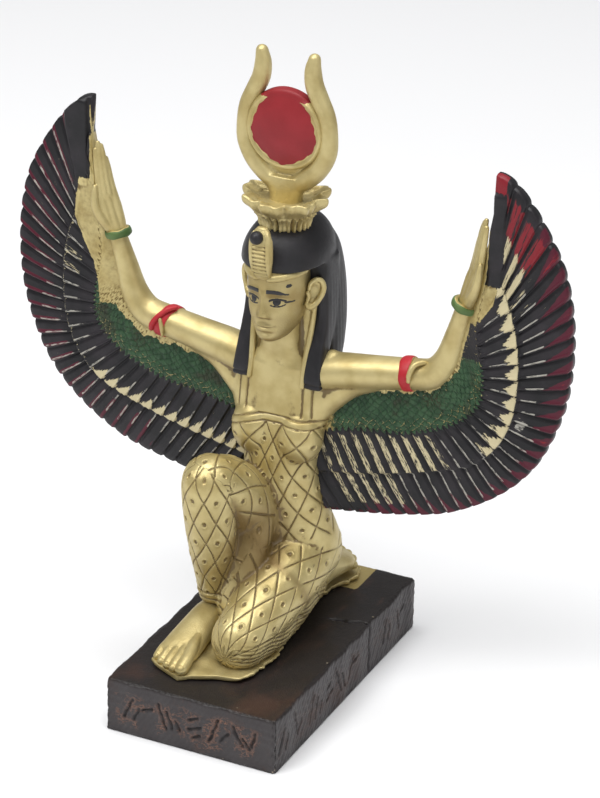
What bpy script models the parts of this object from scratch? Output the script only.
"""Kneeling winged goddess: a cold-cast, painted resin statuette on a separate plinth block.

The figure faces -Y, +X is its left hand, +Z is up, and the origin is the middle of the
plinth's underside. The figure is drawn on a sheet whose unit is one millimetre when the
statue is 150 mm tall, so its pose and proportions are shares of its own height.
"""

import math

import bmesh
import bpy
import numpy as np
from mathutils import Matrix, Vector

# Driving sizes, in metres
STATUE_HEIGHT = 0.150
PLINTH_LENGTH = 0.074
PLINTH_WIDTH = 0.0424
PLINTH_HEIGHT = 0.013
PLINTH_EDGE = 0.0010
SEAT_GAP = 0.0003
WING_THICKNESS = 0.0026
FEATHER_STEP = 0.0005
INSCRIPTION_DEPTH = 0.0005
CRACK_WIDTH = 0.0010
CRACK_DEPTH = 0.0016

# Fineness of the faceted solids
BODY_VOXEL = 0.0006
BODY_TRIANGLES = 5200
FEATHERS = 28

# The drawing sheet: the figure's foot line and its top, in sheet units
SHEET_FOOT = 13.3
SHEET_TOP = 150.0
SEAT_HEIGHT = PLINTH_HEIGHT + SEAT_GAP
UNIT = (STATUE_HEIGHT - SEAT_HEIGHT) / (SHEET_TOP - SHEET_FOOT)


def at(x, y, z):
    """A point of the drawing sheet, in metres."""
    return Vector((x * UNIT, y * UNIT, SEAT_HEIGHT + (z - SHEET_FOOT) * UNIT))


# Body forms on the sheet. A section is (x, y, z, half width, half depth).
TORSO = [
    (1.5, 11.0, 22.0, 8.5, 8.0),
    (1.8, 10.5, 27.0, 11.0, 9.0),
    (1.6, 10.0, 33.0, 11.4, 8.8),
    (1.0, 9.0, 39.0, 10.6, 7.8),
    (0.4, 8.0, 46.0, 9.5, 6.6),
    (0.0, 7.4, 53.0, 8.9, 5.8),
    (0.0, 7.4, 59.0, 9.8, 5.7),
    (0.0, 7.6, 65.0, 11.6, 5.4),
    (0.0, 8.0, 70.0, 12.6, 5.0),
    (0.0, 8.2, 75.0, 11.4, 4.6),
    (0.0, 8.2, 78.5, 7.4, 4.4),
    (0.0, 7.6, 81.0, 5.0, 4.2),
    (0.0, 6.8, 86.0, 4.5, 4.2),
    (0.0, 6.6, 91.0, 4.4, 4.6),
]
BREAST = (5.7, 4.8, 61.2, 5.3)
RAISED_THIGH = [(-4, 9, 31, 9.0), (-5.8, 2, 40, 8.8), (-7.2, -5, 48.4, 7.8), (-8.1, -11.6, 53.2, 6.3)]
RAISED_SHIN = [
    (-8.1, -12.2, 53.0, 6.2), (-8.2, -11.6, 46.5, 6.0), (-8.3, -9.8, 37.0, 5.5),
    (-8.8, -7.8, 29.0, 4.6), (-9.3, -6.4, 22.0, 3.5), (-9.6, -4.8, 18.0, 2.9),
]
RAISED_FOOT = [
    (-9.6, -0.4, 15.6, 2.6, 2.4),
    (-9.7, -3.0, 16.8, 3.4, 3.7),
    (-9.7, -9.0, 17.6, 3.7, 4.2),
    (-9.7, -15.0, 17.2, 4.2, 3.8),
    (-9.8, -21.0, 16.3, 4.7, 2.9),
    (-9.6, -28.6, 14.8, 4.7, 1.5),
]
KNEELING_THIGH = [(4.6, 11, 30, 8.6), (4.4, 3, 27.4, 8.4), (3.8, -7, 24.0, 7.6), (2.6, -18, 19.5, 6.3)]
KNEELING_SHIN = [
    (2.6, -18.2, 18.4, 5.9), (3.8, -10, 18.0, 5.9), (4.0, 0, 18.0, 5.6), (3.8, 8, 18.4, 5.2),
    (4.0, 15, 18.6, 4.4), (4.0, 20, 18.6, 3.3),
]
LAP = [(-2.4, -2.5, 41, 5.4), (-2.6, -6, 33, 5.4), (-3.2, -8, 25, 5.0), (-4.0, -8.5, 18, 4.6)]
REAR_FOOT = [
    (3.9, 16.0, 19.0, 3.4, 3.2),
    (4.0, 21.0, 18.8, 3.8, 3.2),
    (4.2, 27.0, 18.0, 4.6, 2.9),
    (4.4, 31.5, 17.2, 5.0, 2.2),
    (4.5, 33.4, 16.8, 4.8, 1.7),
]
FOOTING_FRONT = [(-15.2, -27.0), (-6.4, -30.4), (-2.8, -28.8), (1.4, -26.6), (6.2, -25.4), (8.4, -18.0), (8.2, -5.0), (6.6, 9.0)]
FOOTING_BACK = [(5.8, 17.0), (9.2, 27.0), (10.0, 36.0), (-1.0, 36.0), (-1.0, 22.0), (-8.0, 13.0), (-12.6, 1.0)]
FOOTING_THICKNESS = 1.3
ARM = [
    (7.5, 8.6, 74.8, 4.3), (13.0, 9.0, 76.4, 4.3), (21.0, 9.3, 77.8, 3.9), (30.0, 9.8, 79.2, 3.6),
    (35.2, 10.0, 80.4, 3.5), (38.4, 10.0, 84.4, 3.1), (40.4, 9.8, 91.0, 2.5), (42.3, 9.2, 98.0, 2.0),
]
HAND = [
    (42.2, 9.2, 97.6, 2.0, 1.9),
    (43.2, 9.0, 101.0, 2.2, 1.7),
    (44.6, 8.8, 106.0, 2.6, 1.6),
    (45.4, 8.8, 110.0, 2.5, 1.4),
    (46.2, 8.8, 114.6, 1.9, 1.2),
    (46.8, 8.8, 118.6, 1.0, 0.9),
]
THUMB = [(43.0, 8.0, 101.6, 1.2), (45.4, 7.4, 105.4, 1.1), (47.8, 7.4, 108.8, 0.8)]
WRIST = (42.3, 9.2, 98.2)
WRIST_DIRECTION = (2.4, -0.4, 7.0)
BRACELET = (2.5, 0.85)
ARMLET_PLACE = (30.0, 9.8, 79.2)
ARMLET_DIRECTION = (9.0, 0.2, 1.7)
ARMLET = (3.4, 1.05)
HEAD = (0, 5.6, 94.8, 6.8, 9.0, 10.0)
JAW = (0, 2.6, 88.8, 4.3, 4.4, 3.8)
NOSE = [(0, -2.8, 98.2, 0.7), (0, -3.8, 95.2, 0.9), (0, -4.2, 93.6, 1.2)]
LIPS = (0, -1.9, 90.2, 1.9, 1.1, 0.8)
EAR = (7.7, 6.6, 94.6, 1.1, 2.2, 3.4)
WIG_CAP = [
    (0, 10.4, 101.8, 9.4, 13.2), (0, 10.4, 104.4, 9.0, 12.8), (0, 10.6, 107.0, 8.0, 11.4),
    (0, 10.6, 109.4, 6.2, 8.8), (0, 10.4, 111.0, 3.4, 5.0),
]
WIG_FALL = [
    (0, 14.0, 67.5, 8.8, 3.2), (0, 14.4, 72.0, 9.8, 4.2), (0, 14.8, 78.0, 10.6, 5.8),
    (0, 15.4, 84.0, 10.6, 7.6), (0, 15.8, 91.0, 10.5, 8.2), (0, 15.6, 98.0, 10.2, 8.4),
    (0, 14.4, 103.5, 9.2, 8.9), (0, 13.4, 107.0, 7.6, 7.8), (0, 12.4, 109.3, 5.2, 5.6),
]
LAPPET = [
    (8.8, 4.4, 72.2, 2.5, 1.8), (8.7, 4.8, 75.0, 2.4, 2.2), (8.3, 6.6, 81.0, 2.3, 2.8),
    (8.2, 8.8, 87.0, 2.1, 3.4), (8.3, 10.6, 94.0, 1.9, 3.8), (8.0, 11.4, 102.0, 1.8, 4.0),
]
COBRA = (0, -3.0, 107.0, 2.5, 1.3, 5.6)
COBRA_HEAD = (-0.4, -4.9, 111.0, 1.5, 1.6, 1.5)
CROWN_CUP = [(109.6, 5.0), (111.4, 5.4), (113.4, 6.8), (115.6, 8.6), (117.0, 8.9), (116.2, 7.4), (115.4, 4.0)]
CROWN_CENTRE = 8.0
CROWN_LOBES = 8
CROWN_LOBE_DEPTH = 0.09
HORN_STEM = [(0, 8, 113.5, 3.7, 2.7), (0, 8, 116.5, 3.8, 2.6), (0, 8, 119.0, 5.0, 2.6), (0, 8, 121.0, 6.6, 2.4)]
HORN = [
    (2.0, 8, 118.8, 2.2), (5.0, 8, 120.9, 2.3), (7.7, 8, 123.6, 2.25), (9.6, 8, 127.4, 2.15),
    (9.9, 8, 131.6, 2.0), (9.3, 8, 135.6, 2.0), (7.7, 8, 139.2, 2.1), (6.2, 8, 142.4, 2.1),
    (5.9, 8, 145.6, 1.9), (6.4, 8, 148.5, 1.5),
]
HORN_WEB = (0, 8.0, 124.0, 6.4, 1.9, 3.6)
DISC_CENTRE = (0, 7.8, 132.2)
DISC_RADIUS = 8.8
DISC_THICKNESS = 5.0

# The wing's bands on the sheet, as (x, z) from the body round to the tip
WING_FACE = 8.8
WING_ARM_LINE = [
    (0, 66), (7, 72.5), (18, 77), (27.5, 79), (33, 80.4), (36.4, 82.6), (38.2, 86), (39.6, 89.5),
    (40.6, 92.8), (41.6, 96), (42.6, 99.2), (43.8, 103), (45.2, 107.4), (46.4, 111), (47.4, 114.5),
]
WING_COVERTS = [
    (0, 60.5), (7.5, 61.2), (18.8, 64), (30, 65.6), (38.6, 69), (44, 72.6), (47, 76.6), (47.6, 80.6),
    (47.3, 84.4), (46.7, 88), (46, 91.6), (45.8, 95.4), (46.4, 99.8), (47.5, 107), (48, 117.5),
]
WING_MIDDLE = [
    (0, 50), (12, 51.8), (24, 54.2), (35.4, 57.3), (46, 61.5), (51.8, 67.3), (54.8, 74.2), (55.7, 80.6),
    (55.8, 87.2), (55.2, 93), (53.9, 98.2), (52.4, 102.4), (50.8, 106.6), (49.6, 112.5), (48.8, 121.5),
]
WING_TIPS = [
    (6, 41.4), (18, 43), (30, 45.2), (41, 48.4), (51.6, 54.8), (59.4, 63), (64.2, 73), (66.6, 82.5),
    (67.2, 92.5), (66.4, 102), (64.2, 110.5), (60.7, 117.3), (56.6, 123.4), (52.4, 128), (48.4, 130.2),
]
COVERT_STEP = 1.1
MIDDLE_STEP = 0.5
TIP_NOTCH = 0.9
WING_ROOT_X = 0.35

# Inscription strokes on the plinth's walls, as shares of the wall: (u, v, tilt in degrees, length).
# They lie apart from each other, so that no group of them reads as a letter.
FRONT_STROKES = [
    (0.14, 0.52, 65, 0.42), (0.19, 0.45, 65, 0.26), (0.25, 0.58, 20, 0.18), (0.34, 0.53, 110, 0.46),
    (0.385, 0.50, 110, 0.32), (0.43, 0.42, 110, 0.20), (0.52, 0.64, 25, 0.20), (0.53, 0.47, 25, 0.28),
    (0.54, 0.32, 25, 0.17), (0.64, 0.52, 70, 0.46), (0.70, 0.45, 50, 0.25), (0.78, 0.55, 120, 0.38),
    (0.83, 0.44, 120, 0.23), (0.87, 0.54, 75, 0.28),
]
SIDE_STROKES = [
    (0.05, 0.50, 70, 0.48), (0.08, 0.42, 70, 0.28), (0.15, 0.54, 105, 0.48), (0.18, 0.45, 60, 0.22),
    (0.25, 0.52, 75, 0.50), (0.28, 0.46, 75, 0.36), (0.31, 0.40, 75, 0.22), (0.37, 0.62, 15, 0.20),
    (0.375, 0.42, 15, 0.28), (0.44, 0.52, 110, 0.48), (0.47, 0.46, 110, 0.32), (0.53, 0.50, 65, 0.42),
    (0.56, 0.60, 20, 0.20), (0.77, 0.54, 75, 0.42), (0.80, 0.46, 75, 0.28), (0.87, 0.50, 105, 0.38),
    (0.90, 0.60, 30, 0.20),
]
STROKE_WIDTH = 0.0006
CRACK_SHARE = 0.66


def clear_scene():
    for old in list(bpy.data.objects):
        bpy.data.objects.remove(old, do_unlink=True)


def collection(name):
    made = bpy.data.collections.new(name)
    bpy.context.scene.collection.children.link(made)
    return made


def paint(name, colour, roughness, metallic):
    """A plain Principled material."""
    made = bpy.data.materials.new(name)
    made.use_nodes = True
    shader = made.node_tree.nodes["Principled BSDF"]
    shader.inputs["Base Color"].default_value = (*colour, 1.0)
    shader.inputs["Roughness"].default_value = roughness
    shader.inputs["Metallic"].default_value = metallic
    return made


def from_bmesh(name, bm, group):
    mesh = bpy.data.meshes.new(name)
    bm.to_mesh(mesh)
    bm.free()
    made = bpy.data.objects.new(name, mesh)
    group.objects.link(made)
    return made


def smooth_path(points, steps):
    """Points of a Catmull-Rom curve through the given rows, each column interpolated alike."""
    rows = np.array(points, float)
    padded = np.vstack([2 * rows[0] - rows[1], rows, 2 * rows[-1] - rows[-2]])
    t = np.linspace(0, 1, steps, endpoint=False)[:, None]
    spans = []
    for a, b, c, d in zip(padded, padded[1:], padded[2:], padded[3:]):
        spans.append(
            0.5 * (2 * b + (c - a) * t + (2 * a - 5 * b + 4 * c - d) * t**2 + (3 * b - a - 3 * c + d) * t**3)
        )
    return np.vstack([*spans, rows[-1:]])


def tube(name, points, group, sides=4):
    """A round limb: a poly curve with a radius at each point and filled, rounded ends."""
    path = smooth_path(points, 5)
    curve = bpy.data.curves.new(name, "CURVE")
    curve.dimensions = "3D"
    curve.bevel_depth = 1.0
    curve.bevel_resolution = sides
    curve.use_fill_caps = True
    spline = curve.splines.new("POLY")
    spline.points.add(len(path) - 1)
    for point, (x, y, z, radius) in zip(spline.points, path):
        point.co = (*at(x, y, z), 1.0)
        point.radius = radius * UNIT
    drawn = bpy.data.objects.new(name, curve)
    group.objects.link(drawn)
    bpy.context.view_layer.update()
    mesh = bpy.data.meshes.new_from_object(drawn.evaluated_get(bpy.context.evaluated_depsgraph_get()))
    bm = bmesh.new()
    bm.from_mesh(mesh)
    bmesh.ops.remove_doubles(bm, verts=bm.verts, dist=0.00001)
    bpy.data.objects.remove(drawn)
    made = from_bmesh(name, bm, group)
    for x, y, z, radius in (points[0], points[-1]):
        end = ball(name + "_end", (x, y, z, radius, radius, radius), group)
        absorb(made, [end])
    return made


def ball(name, form, group):
    """An ellipsoid: (x, y, z, half width, half depth, half height) on the sheet."""
    bm = bmesh.new()
    bmesh.ops.create_uvsphere(bm, u_segments=20, v_segments=12, radius=1.0)
    bmesh.ops.scale(bm, vec=Vector(form[3:]) * UNIT, verts=bm.verts)
    bmesh.ops.translate(bm, vec=at(*form[:3]), verts=bm.verts)
    return from_bmesh(name, bm, group)


def loft(name, sections, group, along="z", steps=3, sides=24, wave=None):
    """A skin over elliptical sections. Each lies square to the sheet axis it is stacked along."""
    rows = smooth_path(sections, steps)
    turns = np.linspace(0, 2 * math.pi, sides, endpoint=False)
    bm = bmesh.new()
    rings = []
    for x, y, z, wide, deep in rows:
        ring = []
        for turn in turns:
            swell = 1.0 if wave is None else wave(turn)
            across = wide * math.cos(turn) * swell
            other = deep * math.sin(turn) * swell
            place = at(x + across, y + other, z) if along == "z" else at(x + across, y, z + other)
            ring.append(bm.verts.new(place))
        rings.append(ring)
    for low, high in zip(rings, rings[1:]):
        for i in range(sides):
            j = (i + 1) % sides
            bm.faces.new((low[i], low[j], high[j], high[i]))
    bm.faces.new(rings[0][::-1])
    bm.faces.new(rings[-1])
    bmesh.ops.recalc_face_normals(bm, faces=bm.faces)
    return from_bmesh(name, bm, group)


def ring_band(name, centre, direction, size, group):
    """A bracelet: a torus set square to the limb."""
    bpy.ops.mesh.primitive_torus_add(
        major_segments=20, minor_segments=8, major_radius=size[0] * UNIT, minor_radius=size[1] * UNIT
    )
    made = bpy.context.object
    made.name = name
    turn = Vector(direction).to_track_quat("Z", "Y")
    made.data.transform(turn.to_matrix().to_4x4())
    made.data.transform(Matrix.Translation(at(*centre)))
    for holder in list(made.users_collection):
        holder.objects.unlink(made)
    group.objects.link(made)
    return made


def mirrored(points, sign):
    return [(sign * p[0], *p[1:]) for p in points]


def absorb(target, others):
    """Joins the other meshes into the target object without a Boolean."""
    bm = bmesh.new()
    bm.from_mesh(target.data)
    for other in others:
        bm.from_mesh(other.data)
        bpy.data.objects.remove(other)
    bm.to_mesh(target.data)
    bm.free()
    return target


def baked(obj):
    """The object with its modifiers made real."""
    bpy.context.view_layer.update()
    mesh = bpy.data.meshes.new_from_object(obj.evaluated_get(bpy.context.evaluated_depsgraph_get()))
    obj.modifiers.clear()
    obj.data = mesh
    return obj


def boolean(target, other, operation):
    step = target.modifiers.new(operation.lower(), "BOOLEAN")
    step.object = other
    step.operation = operation
    baked(target)
    bpy.data.objects.remove(other)
    return target


def resampled(points, count):
    """Evenly numbered points along a smooth curve through the given ones."""
    path = smooth_path(points, 16)
    index = np.linspace(0, len(path) - 1, count)
    return np.column_stack([np.interp(index, np.arange(len(path)), column) for column in path.T])


def wing(name, sign, group):
    """One wing: a sheet of shingled feathers between the arm line and the feather tips.

    The grid runs along the wing in u and across its three bands in v. Every feather lifts
    its leading edge over the next one, and every band steps down to the band outside it.
    """
    columns = FEATHERS * 2
    lines = [resampled(line, columns + 1) for line in (WING_ARM_LINE, WING_COVERTS, WING_MIDDLE, WING_TIPS)]
    stops = [(0, 0.0), (0, 1.0), (1, 0.02), (1, 0.98), (2, 0.06), (2, 0.5), (2, 1.0)]
    rise = [0.0, COVERT_STEP, 0.5, MIDDLE_STEP + 0.3, 0.1, 0.4, 0.2]
    bpy.ops.mesh.primitive_grid_add(x_subdivisions=columns, y_subdivisions=len(stops) - 1, size=2.0)
    sheet = bpy.context.object
    sheet.name = name
    for vertex in sheet.data.vertices:
        i = round((vertex.co.x + 1) / 2 * columns)
        j = round((vertex.co.y + 1) / 2 * (len(stops) - 1))
        band, share = stops[j]
        inner, outer = lines[band][i], lines[band + 1][i]
        x, z = inner + (outer - inner) * share
        ridge = (i % 2) * FEATHER_STEP / UNIT if band > 0 else 0.0
        if band == 2 and share == 1.0:
            notch = -TIP_NOTCH if i % 2 == 0 else 0.0
            reach = np.linalg.norm(outer - inner)
            x, z = outer + (outer - inner) / reach * notch
        vertex.co = at(sign * (x + WING_ROOT_X), WING_FACE - rise[j] - ridge, z)
    fronts = [vertex.co.copy() for vertex in sheet.data.vertices]
    solid = sheet.modifiers.new("thickness", "SOLIDIFY")
    solid.thickness = WING_THICKNESS
    baked(sheet)
    backs = [Vector((place.x, WING_FACE * UNIT + WING_THICKNESS, place.z)) for place in fronts]
    for vertex, place in zip(sheet.data.vertices, fronts + backs):
        vertex.co = place
    bm = bmesh.new()
    bm.from_mesh(sheet.data)
    bmesh.ops.recalc_face_normals(bm, faces=bm.faces)
    if bm.calc_volume(signed=True) < 0:
        bmesh.ops.reverse_faces(bm, faces=bm.faces)
    bm.to_mesh(sheet.data)
    bm.free()
    for holder in list(sheet.users_collection):
        holder.objects.unlink(sheet)
    group.objects.link(sheet)
    return sheet


def lobed(turn):
    """The crown cup's rim swells into rounded lobes."""
    return 1.0 + CROWN_LOBE_DEPTH * math.cos(CROWN_LOBES * turn)


def footing(name, outline, group):
    """The thin slab of resin the figure was cast on."""
    bm = bmesh.new()
    low = [bm.verts.new(at(x, y, SHEET_FOOT - 0.6)) for x, y in outline]
    face = bm.faces.new(low)
    made = bmesh.ops.extrude_face_region(bm, geom=[face])
    risen = [item for item in made["geom"] if isinstance(item, bmesh.types.BMVert)]
    bmesh.ops.translate(bm, vec=Vector((0, 0, (FOOTING_THICKNESS + 0.6) * UNIT)), verts=risen)
    bmesh.ops.recalc_face_normals(bm, faces=bm.faces)
    return from_bmesh(name, bm, group)


def arm_and_hand(side, sign, group):
    """A raised arm from the shoulder to the fingertips."""
    return [
        tube(side + "_arm", mirrored(ARM, sign), group),
        loft(side + "_hand", mirrored(HAND, sign), group, sides=14),
        tube(side + "_thumb", mirrored(THUMB, sign), group, sides=2),
        ring_band(side + "_bracelet", mirrored([WRIST], sign)[0],
                  mirrored([WRIST_DIRECTION], sign)[0], BRACELET, group),
        ring_band(side + "_armlet", mirrored([ARMLET_PLACE], sign)[0],
                  mirrored([ARMLET_DIRECTION], sign)[0], ARMLET, group),
    ]


def head_and_wig(group):
    forms = [
        ball("head", HEAD, group),
        ball("jaw", JAW, group),
        tube("nose", NOSE, group, sides=2),
        ball("lips", LIPS, group),
        loft("wig_cap", WIG_CAP, group),
        loft("wig_fall", WIG_FALL, group),
        ball("cobra", COBRA, group),
        ball("cobra_head", COBRA_HEAD, group),
    ]
    for side, sign in (("right", -1), ("left", 1)):
        forms.append(loft(side + "_lappet", mirrored(LAPPET, sign), group, sides=16))
        forms.append(ball(side + "_ear", (sign * EAR[0], *EAR[1:]), group))
    return forms


def crown(group):
    cup = [(0, CROWN_CENTRE, z, radius, radius) for z, radius in CROWN_CUP]
    forms = [
        loft("crown_cup", cup, group, steps=2, sides=48, wave=lobed),
        loft("horn_stem", HORN_STEM, group),
        ball("sun_disc", (*DISC_CENTRE, DISC_RADIUS, DISC_THICKNESS / 2, DISC_RADIUS), group),
        ball("horn_web", HORN_WEB, group),
    ]
    for side, sign in (("right", -1), ("left", 1)):
        forms.append(tube(side + "_horn", mirrored(HORN, sign), group))
    return forms


def body(group):
    forms = [
        loft("torso", TORSO, group),
        tube("raised_thigh", RAISED_THIGH, group),
        tube("raised_shin", RAISED_SHIN, group),
        loft("raised_foot", RAISED_FOOT, group, along="y"),
        tube("kneeling_thigh", KNEELING_THIGH, group),
        tube("kneeling_shin", KNEELING_SHIN, group),
        tube("lap", LAP, group),
        loft("rear_foot", REAR_FOOT, group, along="y"),
        footing("footing_front", FOOTING_FRONT + FOOTING_BACK, group),
    ]
    for side, sign in (("right", -1), ("left", 1)):
        forms.append(ball(side + "_breast", (sign * BREAST[0], *BREAST[1:3], BREAST[3], BREAST[3], BREAST[3]), group))
        forms += arm_and_hand(side, sign, group)
    return forms


def flatten_foot(figure):
    """Cuts the casting flat where it stands on the plinth."""
    low = bpy.data.meshes.new("foot_cutter")
    bm = bmesh.new()
    bmesh.ops.create_cube(bm, size=1.0)
    bmesh.ops.scale(bm, vec=Vector((0.2, 0.2, 0.02)), verts=bm.verts)
    bmesh.ops.translate(bm, vec=Vector((0, 0, SEAT_HEIGHT - 0.01)), verts=bm.verts)
    bm.to_mesh(low)
    bm.free()
    cutter = bpy.data.objects.new("foot_cutter", low)
    CUTTERS.objects.link(cutter)
    cutter.display_type = "WIRE"
    cutter.hide_render = True
    return boolean(figure, cutter, "DIFFERENCE")


def make_figure(group):
    """The whole casting: rounded forms fused and thinned, then joined to the two wings."""
    forms = body(group) + head_and_wig(group) + crown(group)
    figure = absorb(forms[0], forms[1:])
    figure.name = "goddess_figure"
    fuse = figure.modifiers.new("fuse", "REMESH")
    fuse.mode = "VOXEL"
    fuse.voxel_size = BODY_VOXEL
    baked(figure)
    soften = figure.modifiers.new("soften", "SMOOTH")
    soften.factor = 0.5
    soften.iterations = 2
    baked(figure)
    thin = figure.modifiers.new("thin", "DECIMATE")
    thin.ratio = BODY_TRIANGLES / max(1, 2 * len(figure.data.polygons))
    thin.use_collapse_triangulate = True
    baked(figure)
    flatten_foot(figure)
    for side, sign in (("right", -1), ("left", 1)):
        boolean(figure, wing(side + "_wing", sign, group), "UNION")
    return figure


def groove_box(bm, centre, along, up, out, length, angle, width, depth):
    """A thin oblong cutter lying in a wall, turned in the wall's own plane."""
    turn = math.radians(angle)
    run = along * math.cos(turn) + up * math.sin(turn)
    side = up * math.cos(turn) - along * math.sin(turn)
    corners = []
    for a in (-1, 1):
        for b in (-1, 1):
            for c in (-1, 1):
                corners.append(bm.verts.new(centre + run * a * length / 2 + side * b * width / 2 + out * c * depth))
    for quad in ((0, 1, 3, 2), (4, 6, 7, 5), (0, 4, 5, 1), (2, 3, 7, 6), (0, 2, 6, 4), (1, 5, 7, 3)):
        bm.faces.new([corners[i] for i in quad])


def make_plinth(group):
    """The block, its softened edges, the strokes in two walls and the crack in the right one."""
    bm = bmesh.new()
    bmesh.ops.create_cube(bm, size=1.0)
    bmesh.ops.scale(bm, vec=Vector((PLINTH_WIDTH, PLINTH_LENGTH, PLINTH_HEIGHT)), verts=bm.verts)
    bmesh.ops.translate(bm, vec=Vector((0, 0, PLINTH_HEIGHT / 2)), verts=bm.verts)
    block = from_bmesh("plinth", bm, group)
    edge = block.modifiers.new("edge", "BEVEL")
    edge.width = PLINTH_EDGE
    edge.segments = 2
    baked(block)
    front = Vector((0, -PLINTH_LENGTH / 2, 0))
    right = Vector((PLINTH_WIDTH / 2, 0, 0))
    x, y, z = Vector((1, 0, 0)), Vector((0, 1, 0)), Vector((0, 0, 1))
    cuts = bmesh.new()
    for u, v, tilt, length in FRONT_STROKES:
        centre = front + x * (u - 0.5) * PLINTH_WIDTH + z * v * PLINTH_HEIGHT
        groove_box(cuts, centre, x, z, y, length * PLINTH_HEIGHT, tilt, STROKE_WIDTH, INSCRIPTION_DEPTH)
    for u, v, tilt, length in SIDE_STROKES:
        centre = right + y * (u - 0.5) * PLINTH_LENGTH + z * v * PLINTH_HEIGHT
        groove_box(cuts, centre, y, z, x, length * PLINTH_HEIGHT, tilt, STROKE_WIDTH, INSCRIPTION_DEPTH)
    crack = right + y * (CRACK_SHARE - 0.5) * PLINTH_LENGTH + z * PLINTH_HEIGHT * 0.62
    groove_box(cuts, crack, y, z, x, PLINTH_HEIGHT * 0.9, 96, CRACK_WIDTH, CRACK_DEPTH)
    bmesh.ops.recalc_face_normals(cuts, faces=cuts.faces)
    cutter = from_bmesh("stroke_cutter", cuts, CUTTERS)
    cutter.display_type = "WIRE"
    cutter.hide_render = True
    step = block.modifiers.new("strokes", "BOOLEAN")
    step.object = cutter
    step.operation = "DIFFERENCE"
    step.use_self = True
    baked(block)
    bpy.data.objects.remove(cutter)
    return block


clear_scene()
PARTS = collection("winged_goddess_statuette")
CUTTERS = collection("cutters")
figure = make_figure(PARTS)
figure.data.materials.clear()
figure.data.materials.append(paint("figure_paint", (0.62, 0.50, 0.24), 0.38, 0.35))
for polygon in figure.data.polygons:
    polygon.use_smooth = True
    polygon.material_index = 0
plinth = make_plinth(PARTS)
plinth.data.materials.clear()
plinth.data.materials.append(paint("plinth_paint", (0.045, 0.028, 0.024), 0.5, 0.0))
for polygon in plinth.data.polygons:
    polygon.material_index = 0
for made in (figure, plinth):
    bm = bmesh.new()
    bm.from_mesh(made.data)
    bmesh.ops.triangulate(bm, faces=bm.faces)
    bm.to_mesh(made.data)
    print(made.name, "triangles", len(bm.faces), "open edges", sum(not e.is_manifold for e in bm.edges),
          "volume mm3", round(bm.calc_volume() * 1e9))
    bm.free()
